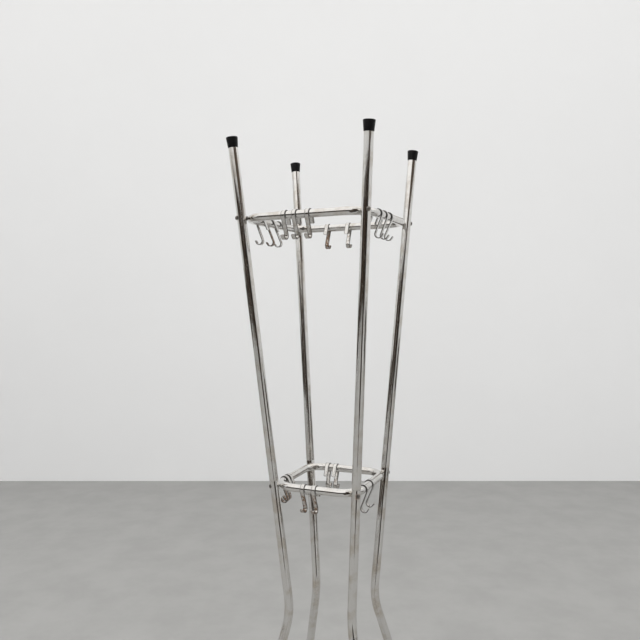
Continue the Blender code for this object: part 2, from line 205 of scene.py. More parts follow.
# Soft boxes: name, azimuth in degrees, distance, height, size, power
LIGHTS = (
    ("key", -50, 3.6, 3.4, (2.4, 2.4), 50),
    ("fill", 35, 5.2, 2.6, (3.0, 2.4), 90),
)

# Shifts along a piece's straightened-out length, so that pieces of one kind don't wear alike
POST_SEED_STEP = 3.0
LEG_SEED_SHIFT = 1.0
RING_SEEDS = {"upper": 20.0, "lower": 25.0}
HOOK_SEED = 40.0

HOOK_DRAW = 11  # starts the random draws of the hooks' tilts and twists


# ---- Measuring the frame ----


def spots_of(node):
    return [vertex.co for vertex in frame["nodes"][node].data.vertices]


def span(node, direction):
    """How far a CAD node reaches along a direction: (least, most)."""
    reaches = [spot.dot(direction) for spot in spots_of(node)]
    return min(reaches), max(reaches)


def end_middle(node, out, at_top):
    """The middle of a CAD tube's upper or lower end, as (reach, height)."""
    low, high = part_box(node)
    tip = high.z if at_top else low.z
    near = [spot for spot in spots_of(node) if abs(spot.z - tip) < END_DEPTH]
    reaches = [spot.dot(out) for spot in near]
    heights = [spot.z for spot in near]
    return Vector(((min(reaches) + max(reaches)) / 2, (min(heights) + max(heights)) / 2))


class Corner:
    """One post: its diagonal, and the places measured along it as (reach, height)."""

    def __init__(self, mount):
        self.name = mount["name"].removeprefix("foot_")
        foot = Vector(mount["pos_m"])
        self.turn = atan2(foot.y, foot.x)
        self.out = Vector((cos(self.turn), sin(self.turn), 0))
        self.foot = Vector((foot.length, 0))
        self.top = end_middle("upper_tube_" + self.name, self.out, at_top=True)
        self.seam = end_middle("lower_leg_" + self.name, self.out, at_top=True)
        self.ankle = end_middle("lower_leg_" + self.name, self.out, at_top=False)
        across = Vector((-self.out.y, self.out.x, 0))
        self.radius = span("upper_tube_" + self.name, across)[1]
        self.lean = lean_of(self.seam, self.top)
        self.splay = lean_of(self.ankle, self.foot)

    def span(self, kind):
        return span(f"{kind}_{self.name}", self.out)

    def height(self, kind):
        low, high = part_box(f"{kind}_{self.name}")
        return (low.z + high.z) / 2

    def place(self, reach=0.0, height=0.0, tilt=0.0):
        """The matrix that puts a piece at a place in this corner's plane, its own Z tilted outwards."""
        turn = Matrix.Rotation(self.turn, 4, "Z")
        return turn @ Matrix.Translation((reach, 0, height)) @ Matrix.Rotation(tilt, 4, "Y")


def lean_of(start, end):
    """The angle from upright of the line between two places, positive if it runs outwards as it rises."""
    run = end - start if end.y > start.y else start - end
    return atan2(run.x, run.y)


# ---- Mesh making ----


def finished_mesh(bm, name):
    bmesh.ops.recalc_face_normals(bm, faces=bm.faces)
    mesh = bpy.data.meshes.new(name)
    bm.to_mesh(mesh)
    bm.free()
    mesh.shade_smooth()
    mesh.set_sharp_from_angle(angle=SHARP_ANGLE)
    return mesh


def bridge(bm, rows, closed):
    """Quads between neighbouring rows of points, each row a closed loop."""
    pairs = list(zip(rows, rows[1:])) + ([(rows[-1], rows[0])] if closed else [])
    for row, following in pairs:
        for index in range(len(row)):
            after = (index + 1) % len(row)
            bm.faces.new((row[index], row[after], following[after], following[index]))


def circle(radius, sides):
    angles = [2 * pi * side / sides for side in range(sides)]
    return [(radius * cos(angle), radius * sin(angle)) for angle in angles]


def run_layer(bm):
    """Each point's place on the piece as if it were straightened out, which the materials follow."""
    return bm.verts.layers.float_vector.new("run")


def add_row(bm, layer, centre, angle, section, length, seed):
    """A cross-section of a piece that runs in a plane. The section is (along the normal, across)."""
    row = []
    for out, across in section:
        vert = bm.verts.new((centre.x + out * cos(angle), across, centre.y + out * sin(angle)))
        vert[layer] = (out, across, length + seed)
        row.append(vert)
    return row


def tube_mesh(name, at, stations, sides, seed, closed=True):
    """A round piece: at(length) gives its middle line's place and normal, stations are (length, radius).

    A tube's stations go once round its wall, and a solid's run from its axis to its axis.
    """
    bm = bmesh.new()
    layer = run_layer(bm)
    rows = []
    for length, radius in stations:
        centre, angle = at(length)
        rows.append(add_row(bm, layer, centre, angle, circle(radius, sides), length, seed))
    bridge(bm, rows, closed)
    bmesh.ops.remove_doubles(bm, verts=bm.verts, dist=MERGE_DISTANCE)
    return finished_mesh(bm, name)


def upright(length):
    """The middle line of a straight piece."""
    return Vector((0, length)), 0.0


def quarter(length, radius, edge, rising):
    """Stations round a tube's outer edge, from its side to its end, which is an upper end if rising."""
    sign = 1 if rising else -1
    stations = []
    for step in range(EDGE_STEPS + 1):
        angle = step * pi / 2 / EDGE_STEPS
        along = length - sign * edge * (1 - sin(angle))
        inset = edge * (1 - cos(angle))
        stations.append((along, radius - inset))
    return stations


def arc(centre, radius, start, end, steps):
    """(place, normal angle) pairs on an arc. A negative radius puts the normal towards the centre."""
    pairs = []
    for step in range(steps + 1):
        angle = start + (end - start) * step / steps
        pairs.append((centre + radius * Vector((cos(angle), sin(angle))), angle))
    return pairs


def carved(mesh, cutter_mesh):
    """The mesh with the cutter taken away from it."""
    body, cutter = (bpy.data.objects.new(part.name, part) for part in (mesh, cutter_mesh))
    for obj in (body, cutter):
        bpy.context.scene.collection.objects.link(obj)
    body.modifiers.new("cut", "BOOLEAN").object = cutter
    bpy.context.view_layer.update()
    evaluated = body.evaluated_get(bpy.context.evaluated_depsgraph_get())
    result = bpy.data.meshes.new_from_object(evaluated)
    for obj in (body, cutter):
        bpy.data.objects.remove(obj)
    result.shade_smooth()
    result.set_sharp_from_angle(angle=SHARP_ANGLE)
    return result


def add_piece(node, mesh, material, matrix, body="stand"):
    """A finished piece that stands for one CAD node, its place in its mesh."""
    mesh.transform(matrix)
    mesh.materials.clear()
    mesh.materials.append(material)
    piece = bpy.data.objects.new("smooth_" + node, mesh)
    bpy.context.scene.collection.objects.link(piece)
    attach(piece, body)
    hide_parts(node)
    return piece


# ---- Tubes ----


def upper_tube_mesh(corner, seed):
    """The straight tube, its lower end swaged down to the spigot inside the leg."""
    radius, length = corner.radius, (corner.top - corner.seam).length
    bore = radius - TUBE_WALL
    spigot = bore - SPIGOT_CLEARANCE
    stations = [
        *quarter(length, radius, TUBE_EDGE, rising=True),
        (length, bore),
        (SEAM_GAP + 2 * TUBE_WALL, bore),
        (SEAM_GAP, spigot - TUBE_WALL),
        (-SPIGOT_LENGTH, spigot - TUBE_WALL),
        (-SPIGOT_LENGTH, spigot),
        (SEAM_GAP, spigot),
        *reversed(quarter(SEAM_GAP, radius, TUBE_EDGE, rising=False)),
    ]
    return tube_mesh("upper_tube", upright, stations, TUBE_SIDES, seed)


def leg_line(corner):
    """at(length) for the leg, measured down from the seam, with its bend's start and length, and its length."""
    turn = abs(corner.lean - corner.splay)
    down = Vector((-sin(corner.lean), -cos(corner.lean)))
    away = Vector((-sin(corner.splay), -cos(corner.splay)))
    to_foot = corner.ankle - corner.seam
    # The two straight lines meet where seam + first * down = ankle - last * away.
    cross = down.x * away.y - down.y * away.x
    first = (to_foot.x * away.y - to_foot.y * away.x) / cross
    meeting = corner.seam + first * down
    last = (corner.ankle - meeting).length
    tangent = BEND_RADIUS * tan(turn / 2)
    bend_start, bend_length = first - tangent, BEND_RADIUS * turn
    total = bend_start + bend_length + last - tangent
    centre = corner.seam + bend_start * down + BEND_RADIUS * Vector((cos(corner.lean), -sin(corner.lean)))

    def at(length):
        if length < bend_start:
            return corner.seam + length * down, -corner.lean
        if length > bend_start + bend_length:
            return corner.ankle - (total - length) * away, -corner.splay
        angle = -corner.lean + (length - bend_start) / BEND_RADIUS
        return centre - BEND_RADIUS * Vector((cos(angle), sin(angle))), angle

    return at, bend_start, bend_length, total


def lower_leg_mesh(corner, seed):
    at, bend_start, bend_length, total = leg_line(corner)
    radius, bore = corner.radius, corner.radius - TUBE_WALL
    bend = [bend_start + bend_length * step / BEND_STEPS for step in range(BEND_STEPS + 1)]
    stations = [
        *reversed(quarter(0.0, radius, TUBE_EDGE, rising=False)),
        *[(along, radius) for along in bend],
        *quarter(total, radius, TUBE_EDGE, rising=True),
        (total, bore),
        *[(along, bore) for along in reversed(bend)],
        (0.0, bore),
    ]
    return tube_mesh("lower_leg", at, stations, TUBE_SIDES, seed)


def ring_mesh(level, seed):
    """A closed ring of tube, a rounded square from above, its tube a little squeezed at the corners."""
    low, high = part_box(f"{level}_ring")
    radius = (high.z - low.z) / 2
    half_side = high.x - radius
    diagonal = Vector((cos(pi / 4), sin(pi / 4), 0))
    reach = span(f"{level}_ring", diagonal)[1] - radius
    corner_radius = (sqrt(2) * half_side - reach) / (sqrt(2) - 1)
    bm = bmesh.new()
    layer = run_layer(bm)
    rows, length, previous = [], 0.0, None
    for number in range(4):
        middle = pi / 4 + number * pi / 2
        centre = sqrt(2) * (half_side - corner_radius) * Vector((cos(middle), sin(middle)))
        bend = arc(centre, corner_radius, middle - pi / 4, middle + pi / 4, CORNER_STEPS)
        for step, (place, angle) in enumerate(bend):
            length += (place - previous).length if previous else 0.0
            previous = place
            squeeze = RING_FLATTENING * sin(pi * step / CORNER_STEPS) ** 2
            row = []
            for out, up in circle(radius, RING_SIDES):
                flat = out * (1 - squeeze)
                vert = bm.verts.new((place.x + flat * cos(angle), place.y + flat * sin(angle), up))
                vert[layer] = (out, up, length + seed)
                row.append(vert)
            rows.append(row)
    bridge(bm, rows, closed=True)
    return finished_mesh(bm, f"{level}_ring"), (low.z + high.z) / 2


# ---- Plugs ----


def plug_side(radius, height):
    """Stations from a plug's lower edge, up its flare and round its upper edge."""
    lip = radius + PLUG_LIP
    return [
        (SEAM_GAP, lip - PLUG_CHAMFER),
        (SEAM_GAP + PLUG_CHAMFER, lip),
        (SEAM_GAP + PLUG_LIP_HEIGHT, lip),
        *quarter(height, PLUG_TOP_RADIUS, PLUG_EDGE, rising=True),
    ]


def top_plug_mesh(corner, seed):
    """A stem inside the tube, a flared head, and a softly domed top with the small mark of its mould."""
    stem = corner.radius - TUBE_WALL - SPIGOT_CLEARANCE
    flat = PLUG_TOP_RADIUS - PLUG_EDGE
    dome = []
    for step in range(1, EDGE_STEPS + 1):
        radius = flat + (GATE_MARK_RADIUS - flat) * step / EDGE_STEPS
        dome.append((PLUG_HEIGHT + PLUG_DOME * (1 - (radius / flat) ** 2), radius))
    stations = [
        (-PLUG_STEM, 0),
        (-PLUG_STEM, stem),
        (SEAM_GAP, stem),
        *plug_side(corner.radius, PLUG_HEIGHT),
        *dome,
        (dome[-1][0] - GATE_MARK_DEPTH, GATE_MARK_RADIUS * GATE_MARK_FLOOR),
        (dome[-1][0] - GATE_MARK_DEPTH, 0),
    ]
    return tube_mesh("top_plug", upright, stations, TURNED_SIDES, seed, closed=False)


def foot_plug_mesh(corner, seed):
    """The foot, made pointing down the leg, and cut level just where it stands."""
    stem = corner.radius - TUBE_WALL - SPIGOT_CLEARANCE
    reach = (corner.foot - corner.ankle).length
    stations = [
        (-PLUG_STEM, 0),
        (-PLUG_STEM, stem),
        (SEAM_GAP, stem),
        (SEAM_GAP, corner.radius + PLUG_LIP - PLUG_CHAMFER),
        (SEAM_GAP + PLUG_CHAMFER, corner.radius + PLUG_LIP),
        (FOOT_FLARE, PLUG_TOP_RADIUS - PLUG_CHAMFER),
        (FOOT_FLARE + FOOT_FLARE_EDGE, PLUG_TOP_RADIUS),
        (2 * reach, PLUG_TOP_RADIUS),
        (2 * reach, 0),
    ]
    mesh = tube_mesh("foot_plug", upright, stations, TURNED_SIDES, seed, closed=False)
    bm = bmesh.new()
    bm.from_mesh(mesh)
    ankle = Matrix.Translation((corner.ankle.x, 0, corner.ankle.y))
    place = ankle @ Matrix.Rotation(pi + corner.splay, 4, "Y")
    bmesh.ops.transform(bm, matrix=place, verts=bm.verts)
    everything = bm.verts[:] + bm.edges[:] + bm.faces[:]
    floor = {"plane_co": (0, 0, 0), "plane_no": (0, 0, -1)}
    cut = bmesh.ops.bisect_plane(bm, geom=everything, **floor, clear_outer=True)
    rim = [part for part in cut["geom_cut"] if isinstance(part, bmesh.types.BMEdge)]
    bmesh.ops.contextual_create(bm, geom=rim)
    return finished_mesh(bm, "foot_plug")


# ---- Fasteners ----


def thread(start, end, radius):
    """Stations of a cut thread, as ridges, from one length to the other."""
    count = int((end - start) / THREAD_PITCH)
    stations = []
    for turn in range(count):
        length = start + turn * THREAD_PITCH
        stations += [(length, radius - THREAD_DEPTH), (length + THREAD_PITCH / 2, radius)]
    root = radius - THREAD_DEPTH
    return stations + [(start + count * THREAD_PITCH, root), (end, root)]


def bolt_mesh(name, length, radius, head_radius, head_height, rim, seed):
    """A domed bolt along +Z, its head seated at the origin and its thread running down."""
    dome = []
    bulge_height = head_height - rim
    bulge = (head_radius**2 + bulge_height**2) / (2 * bulge_height)
    edge = atan2(head_radius, bulge - bulge_height)
    for step in range(2 * EDGE_STEPS + 1):
        angle = edge * (1 - step / (2 * EDGE_STEPS))
        dome.append((head_height - bulge + bulge * cos(angle), bulge * sin(angle)))
    stations = [
        (-length, 0),
        *thread(-length, -length + THREAD_LENGTH, radius),
        (-length + THREAD_LENGTH, radius),
        (0, radius),
        (0, head_radius - rim / 3),
        (rim / 3, head_radius),
        *dome[:-1],
        (head_height, 0),
    ]
    return tube_mesh(name, upright, stations, TURNED_SIDES, seed, closed=False)


def slotted(mesh):
    """The screw with a driver's slot across its head."""
    bm = bmesh.new()
    bmesh.ops.create_cube(bm, size=1.0)
    size = Matrix.Diagonal((4 * SCREW_HEAD_RADIUS, SLOT_WIDTH, 2 * SLOT_DEPTH, 1))
    place = Matrix.Translation((0, 0, SCREW_HEAD_HEIGHT))
    bmesh.ops.transform(bm, matrix=place @ size, verts=bm.verts)
    return carved(mesh, finished_mesh(bm, "slot"))


def nut_mesh(name, across_corners, height, hole, seed):
    """A hexagon nut along +Z, its upper face at the origin, with its corners chamfered on both faces."""
    flat = across_corners / 2 * cos(pi / 6)
    bm = bmesh.new()
    layer = run_layer(bm)
    outlines = ([], [], [], [], [], [])
    for side in range(NUT_SIDES):
        angle = 2 * pi * side / NUT_SIDES
        reach = flat / cos((angle % (pi / 3)) - pi / 6)
        drop = (reach - flat) * tan(pi / 6)
        upper = ((hole, 0), (flat * NUT_FACE, 0), (reach, -drop))
        levels = upper + ((reach, drop - height), (flat * NUT_FACE, -height), (hole, -height))
        for outline, (radius, level) in zip(outlines, levels):
            vert = bm.verts.new((radius * cos(angle), radius * sin(angle), level))
            vert[layer] = (vert.co.x, vert.co.y, level + seed)
            outline.append(vert)
    bridge(bm, outlines, closed=True)
    return finished_mesh(bm, name)


def spacer_mesh(length, hole, seed):
    stations = [
        *quarter(length, BOLT_HEAD_RADIUS, SPACER_EDGE, rising=True),
        (length, hole),
        (0, hole),
        *reversed(quarter(0.0, BOLT_HEAD_RADIUS, SPACER_EDGE, rising=False)),
    ]
    return tube_mesh("upper_spacer", upright, stations, TURNED_SIDES, seed)


# ---- Hooks ----


def strip_section(narrowing=0.0):
    """A flat strip's outline with rounded edges: (thickness, width)."""
    half_thickness = STRIP_THICKNESS / 2 - STRIP_EDGE
    half_width = STRIP_WIDTH / 2 - STRIP_EDGE - narrowing
    outline = []
    for number, (side, end) in enumerate(((1, 1), (-1, 1), (-1, -1), (1, -1))):
        for step in range(EDGE_STEPS + 1):
            angle = (number + step / EDGE_STEPS) * pi / 2
            thickness = side * half_thickness + STRIP_EDGE * cos(angle)
            outline.append((thickness, end * half_width + STRIP_EDGE * sin(angle)))
    return outline


def hook_line(bar_radius):
    """The strip's middle line seen along the bar: outwards is +X, and the bar is the origin."""
    wrap_radius = bar_radius + WRAP_CLEARANCE + STRIP_THICKNESS / 2
    wrap = arc(Vector((0, 0)), wrap_radius, pi, 0, HOOK_ARC_STEPS)
    centre = Vector((wrap_radius + HOOK_RADIUS, -SHANK_LENGTH))
    throat = arc(centre, -HOOK_RADIUS, 0, HOOK_TURN, HOOK_ARC_STEPS)
    last, angle = throat[-1]
    tip = last + TIP_LENGTH * Vector((sin(angle), -cos(angle)))
    tail = Vector((-wrap_radius, -TAIL_LENGTH))
    return [(tail, pi), *wrap, *throat, (tip, angle)]


def hanging(line):
    """The line turned about the bar until its centre of mass is straight below: a loose hook's balance."""
    moment = Vector((0, 0))
    for (start, _), (end, _) in zip(line, line[1:]):
        moment += (start + end) / 2 * (end - start).length
    lean = atan2(moment.x, -moment.y)
    turn = Matrix.Rotation(-lean, 2)
    return [(turn @ place, angle - lean) for place, angle in line]


def rounded_end(end, inner, angle):
    """(place, angle, narrowing) for the rows that round off the strip's corners, from its end inwards."""
    rows = []
    inwards = (inner - end).normalized()
    for step in range(EDGE_STEPS + 1):
        swing = step * pi / 2 / EDGE_STEPS
        place = end + inwards * STRIP_END_ROUND * (1 - cos(swing))
        rows.append((place, angle, STRIP_END_ROUND * (1 - sin(swing))))
    return rows


def hook_mesh(bar_radius, seed):
    line = hanging(hook_line(bar_radius))
    (first, first_angle), (last, last_angle) = line[0], line[-1]
    start = rounded_end(first, line[1][0], first_angle)
    finish = rounded_end(last, line[-2][0], last_angle)
    rows_at = start + [(place, angle, 0.0) for place, angle in line[1:-1]] + finish[::-1]
    bm = bmesh.new()
    layer = run_layer(bm)
    rows, length = [], 0.0
    for number, (place, angle, narrowing) in enumerate(rows_at):
        length += (place - rows_at[number - 1][0]).length if number else 0.0
        rows.append(add_row(bm, layer, place, angle, strip_section(narrowing), length, seed))
    bridge(bm, rows, closed=False)
    bm.faces.new(rows[0])
    bm.faces.new(rows[-1])
    return finished_mesh(bm, "hook")


# ---- Materials ----


# Where a mix node keeps its colour sockets: the amount, the two colours, and the result
COLOUR_MIX_INPUTS = (0, 6, 7)
COLOUR_MIX_OUTPUT = 2

# Patterns: a scale is in cells per metre. A range is the part of a noise that is spread from 0 to 1, or over
# a roughness, given as its least and most.
MIDDLE_RANGE = (0.3, 0.7)
PIT_CORE = 0.4  # a pit's full depth reaches this share of the way out

TUBE_CLOUD_SCALE, TUBE_CLOUD_RANGE = 28, (0.42, 0.72)
TUBE_STREAK_SCALE, TUBE_STREAK_STRETCH = 900, 0.02
TUBE_PIT_SCALE, TUBE_PIT_SIZE = 750, 0.34
TUBE_PIT_FIELD_SCALE, TUBE_PIT_FIELD_RANGE = 60, (0.50, 0.70)
TUBE_WAVE_SCALE, TUBE_WAVE_DEPTH, TUBE_WAVE_STRENGTH = 45, 0.0004, 0.15
TUBE_STREAK_DEPTH, TUBE_PIT_DEPTH = 0.00002, 0.00008
TUBE_ROUGHNESS = (0.07, 0.15)
CLOUD_ROUGHNESS, PIT_ROUGHNESS = 0.10, 0.35

STAIN_REACH, STAIN_FULL = 0.0095, 0.0045  # from the screw's middle
STAIN_RAGGED_SCALE, STAIN_RAGGEDNESS = 420, (-0.0035, 0.0035)
STAIN_TONE_SCALE, STAIN_TONE_RANGE = 900, (0.35, 0.65)
STAIN_ROUGHNESS, STAIN_DULLNESS = 0.45, 0.8

# Painted shade along the hook strips' edges: where it starts and where it is full, measured in from the edge, and
# how dark it gets
EDGE_SHADE_START, EDGE_SHADE_FULL, EDGE_SHADE_AMOUNT = 0.0020, 0.0008, 0.9  # in from a strip's edge
RUST_START, RUST_FADE = 0.035, 0.025  # along the strip, past the tail
RUST_ON_WRAP = 0.12  # how much of the rust there is before that
HOOK_CLOUD_SCALE, HOOK_CLOUD_RANGE = 110, (0.40, 0.68)
HOOK_CLOUD_LEAST, HOOK_CLOUD_BY_RUST = 0.25, 0.7
HOOK_SCUFF_SCALE, HOOK_SCUFF_STRETCH, HOOK_SCUFF_DEPTH = 1300, 0.06, 0.00003
RUST_PATCH_SCALE, RUST_PATCH_EDGE, RUST_PATCH_DEPTH = 170, 0.10, 0.0001
RUST_PATCH_LEAST, RUST_PATCH_BY_RUST = 0.66, 0.26
HOOK_PIT_SCALE, HOOK_PIT_SIZE = 1100, 0.36
HOOK_PIT_FIELD_SCALE, HOOK_PIT_FIELD_RANGE = 130, (0.45, 0.62)
RUST_TONE_SCALE, RUST_TONE_RANGE = 700, (0.36, 0.64)
# Rust and the painted edge shade both make the strip rougher and less metallic
HOOK_ROUGHNESS, HOOK_RUST_AND_EDGE_ROUGHNESS, HOOK_RUST_AND_EDGE_DULLNESS = (0.10, 0.20), 0.35, 0.7

STEEL_SPOT_SCALE, STEEL_SPOT_RANGE, STEEL_SPOT_AMOUNT = 520, (0.52, 0.66), 0.8
STEEL_TONE_SCALE, STEEL_TONE_RANGE = 1500, (0.4, 0.6)
STEEL_GRAIN_SCALE, STEEL_GRAIN_DEPTH, STEEL_ROUGHNESS = 2400, 0.00005, (0.22, 0.38)
STEEL_SPOT_ROUGHNESS, STEEL_SPOT_DULLNESS = 0.3, 0.5

PLASTIC_SHINE = 0.18
PLASTIC_DUST_SCALE, PLASTIC_DUST_RANGE, PLASTIC_DUST_AMOUNT = 160, (0.50, 0.80), 0.6
PLASTIC_GRAIN_SCALE, PLASTIC_GRAIN_DEPTH = 2600, 0.00004
PLASTIC_SCUFF_SCALE, PLASTIC_ROUGHNESS = 300, (0.34, 0.52)

RELIEF = 0.5  # how strongly most bumps show

def new_material(name):
    made = bpy.data.materials.new(name)
    made.use_nodes = True
    return made, made.node_tree, made.node_tree.nodes["Principled BSDF"]


def add_node(tree, kind, values=None, **settings):
    """A shader node with its settings and its inputs, each a value or another node's output."""
    made = tree.nodes.new(kind)
    for key, value in settings.items():
        setattr(made, key, value)
    for key, value in (values or {}).items():
        if isinstance(value, bpy.types.NodeSocket):
            tree.links.new(value, made.inputs[key])
        else:
            made.inputs[key].default_value = value
    return made


def stretched(tree, scale):
    """The piece's straightened-out coordinates, scaled on each axis."""
    run = add_node(tree, "ShaderNodeAttribute", attribute_name="run")
    values = {"Vector": run.outputs["Vector"], "Scale": scale}
    return add_node(tree, "ShaderNodeMapping", values).outputs["Vector"]


def noise(tree, vector, scale, detail=3.0, roughness=0.55):
    values = {"Vector": vector, "Scale": scale, "Detail": detail, "Roughness": roughness}
    return add_node(tree, "ShaderNodeTexNoise", values).outputs["Fac"]


def mapped(tree, value, low, high, to_low=0.0, to_high=1.0):
    """The value's range from low to high spread smoothly over another range."""
    values = {"Value": value, "From Min": low, "From Max": high, "To Min": to_low, "To Max": to_high}
    return add_node(tree, "ShaderNodeMapRange", values, interpolation_type="SMOOTHSTEP").outputs["Result"]


def math(tree, operation, first, second):
    return add_node(tree, "ShaderNodeMath", {0: first, 1: second}, operation=operation).outputs["Value"]


def blended(tree, amount, first, second):
    """A colour between two others. Each is a colour or another node's output."""
    made = tree.nodes.new("ShaderNodeMix")
    made.data_type = "RGBA"
    for socket, value in zip(COLOUR_MIX_INPUTS, (amount, first, second)):
        if isinstance(value, bpy.types.NodeSocket):
            tree.links.new(value, made.inputs[socket])
        else:
            made.inputs[socket].default_value = value
    return made.outputs[COLOUR_MIX_OUTPUT]


def bumped(tree, height, distance, strength, normal=None):
    values = {"Height": height, "Distance": distance, "Strength": strength}
    if normal:
        values["Normal"] = normal
    return add_node(tree, "ShaderNodeBump", values).outputs["Normal"]


def pits(tree, vector, scale, size, where):
    """Small round spots, only where the second value is high."""
    cells = add_node(tree, "ShaderNodeTexVoronoi", {"Vector": vector, "Scale": scale}, feature="F1")
    spots = mapped(tree, cells.outputs["Distance"], size, size * PIT_CORE)
    return math(tree, "MULTIPLY", spots, where)


SILVER = (0.74, 0.73, 0.71, 1)
TARNISH = (0.54, 0.48, 0.41, 1)
HOOK_SILVER = (0.70, 0.69, 0.67, 1)
HOOK_TARNISH = (0.36, 0.31, 0.24, 1)
# Near black, painted along the hook strips' edges as painted shade
PAINTED_EDGE_SHADE = (0.022, 0.018, 0.014, 1)
DARK_SPOT = (0.16, 0.11, 0.07, 1)
RUST_DARK = (0.055, 0.028, 0.015, 1)
RUST_LIGHT = (0.25, 0.125, 0.055, 1)
STEEL = (0.20, 0.19, 0.175, 1)
BLACK = (0.0035, 0.0035, 0.0036, 1)
DUST = (0.016, 0.0155, 0.0145, 1)


def chrome(name, tarnish, pitting, stain_at=None, stain=0.0):
    """Old chrome on tube: drawn streaks, cloudy tarnish, pits, and a rust stain if it is given a place."""
    made, tree, shader = new_material(name)
    plain, drawn = stretched(tree, (1, 1, 1)), stretched(tree, (1, 1, TUBE_STREAK_STRETCH))
    clouds = mapped(tree, noise(tree, plain, TUBE_CLOUD_SCALE, 5.0), *TUBE_CLOUD_RANGE)
    streaks = noise(tree, drawn, TUBE_STREAK_SCALE, 4.0)
    field = noise(tree, plain, TUBE_PIT_FIELD_SCALE, 3.0)
    scattered = mapped(tree, field, *TUBE_PIT_FIELD_RANGE, 0.0, pitting)
    spots = pits(tree, plain, TUBE_PIT_SCALE, TUBE_PIT_SIZE, scattered)
    colour = blended(tree, math(tree, "MULTIPLY", clouds, tarnish), SILVER, TARNISH)
    colour = blended(tree, spots, colour, DARK_SPOT)
    rough = mapped(tree, streaks, *MIDDLE_RANGE, *TUBE_ROUGHNESS)
    rough = math(tree, "ADD", rough, math(tree, "MULTIPLY", clouds, CLOUD_ROUGHNESS))
    rough = math(tree, "ADD", rough, math(tree, "MULTIPLY", spots, PIT_ROUGHNESS))
    shader.inputs["Metallic"].default_value = 1.0
    if stain_at:
        run = add_node(tree, "ShaderNodeAttribute", attribute_name="run").outputs["Vector"]
        values = {0: run, 1: stain_at}
        away = add_node(tree, "ShaderNodeVectorMath", values, operation="DISTANCE").outputs["Value"]
        unevenness = noise(tree, plain, STAIN_RAGGED_SCALE, 4.0)
        ragged = math(tree, "ADD", away, mapped(tree, unevenness, *MIDDLE_RANGE, *STAIN_RAGGEDNESS))
        rusty = mapped(tree, ragged, STAIN_REACH, STAIN_FULL, 0.0, stain)
        shades = mapped(tree, noise(tree, plain, STAIN_TONE_SCALE, 3.0), *STAIN_TONE_RANGE)
        colour = blended(tree, rusty, colour, blended(tree, shades, RUST_DARK, RUST_LIGHT))
        rough = math(tree, "ADD", rough, math(tree, "MULTIPLY", rusty, STAIN_ROUGHNESS))
        metal = math(tree, "SUBTRACT", 1.0, math(tree, "MULTIPLY", rusty, STAIN_DULLNESS))
        tree.links.new(metal, shader.inputs["Metallic"])
    tree.links.new(colour, shader.inputs["Base Color"])
    tree.links.new(rough, shader.inputs["Roughness"])
    normal = bumped(tree, streaks, TUBE_STREAK_DEPTH, RELIEF)
    waves = noise(tree, plain, TUBE_WAVE_SCALE, 2.0)
    normal = bumped(tree, waves, TUBE_WAVE_DEPTH, TUBE_WAVE_STRENGTH, normal)
    tree.links.new(bumped(tree, spots, TUBE_PIT_DEPTH, -RELIEF, normal), shader.inputs["Normal"])
    return made


def hook_chrome(name, rust, seed):
    """Worn chrome on strip: bright faces, its cut edges darkened with painted shade, and rust past the wrap, on
    shank and hook.
    """
    made, tree, shader = new_material(name)
    plain, drawn = stretched(tree, (1, 1, 1)), stretched(tree, (1, 1, HOOK_SCUFF_STRETCH))
    run = add_node(tree, "ShaderNodeAttribute", attribute_name="run").outputs["Vector"]
    place = add_node(tree, "ShaderNodeSeparateXYZ", {"Vector": run}).outputs
    half_width = STRIP_WIDTH / 2
    aside = math(tree, "ABSOLUTE", place["Y"], 0.0)
    # The band along the strip's edges that gets painted shade
    edge = mapped(tree, aside, half_width - EDGE_SHADE_START, half_width - EDGE_SHADE_FULL)
    rust_start = TAIL_LENGTH + seed + RUST_START
    below = mapped(tree, place["Z"], rust_start, rust_start + RUST_FADE, RUST_ON_WRAP, 1.0)
    clouds = mapped(tree, noise(tree, plain, HOOK_CLOUD_SCALE, 4.0), *HOOK_CLOUD_RANGE)
    scuffs = noise(tree, drawn, HOOK_SCUFF_SCALE, 4.0)
    least = RUST_PATCH_LEAST - RUST_PATCH_BY_RUST * rust
    patches = mapped(tree, noise(tree, plain, RUST_PATCH_SCALE, 6.0, 0.65), least, least + RUST_PATCH_EDGE)
    scattered = mapped(tree, noise(tree, plain, HOOK_PIT_FIELD_SCALE, 2.0), *HOOK_PIT_FIELD_RANGE)
    rusty = math(tree, "MAXIMUM", patches, pits(tree, plain, HOOK_PIT_SCALE, HOOK_PIT_SIZE, scattered))
    rusty = math(tree, "MULTIPLY", rusty, below)
    shades = mapped(tree, noise(tree, plain, RUST_TONE_SCALE, 4.0), *RUST_TONE_RANGE)
    cloudiness = HOOK_CLOUD_LEAST + HOOK_CLOUD_BY_RUST * rust
    cloudy = math(tree, "MULTIPLY", math(tree, "MULTIPLY", clouds, cloudiness), below)
    colour = blended(tree, cloudy, HOOK_SILVER, HOOK_TARNISH)
    colour = blended(tree, rusty, colour, blended(tree, shades, RUST_DARK, RUST_LIGHT))
    # Painted shade: the strip's edges darkened towards near black
    colour = blended(tree, math(tree, "MULTIPLY", edge, EDGE_SHADE_AMOUNT), colour, PAINTED_EDGE_SHADE)
    # Rust and the painted edge shade together make the strip rougher and less metallic
    rust_and_shaded_edge = math(tree, "MAXIMUM", rusty, edge)
    rough = mapped(tree, scuffs, *MIDDLE_RANGE, *HOOK_ROUGHNESS)
    rough = math(tree, "ADD", rough, math(tree, "MULTIPLY", rust_and_shaded_edge, HOOK_RUST_AND_EDGE_ROUGHNESS))
    metal = math(tree, "SUBTRACT", 1.0, math(tree, "MULTIPLY", rust_and_shaded_edge, HOOK_RUST_AND_EDGE_DULLNESS))
    tree.links.new(colour, shader.inputs["Base Color"])
    tree.links.new(rough, shader.inputs["Roughness"])
    tree.links.new(metal, shader.inputs["Metallic"])
    normal = bumped(tree, scuffs, HOOK_SCUFF_DEPTH, RELIEF)
    tree.links.new(bumped(tree, rusty, RUST_PATCH_DEPTH, RELIEF, normal), shader.inputs["Normal"])
    return made


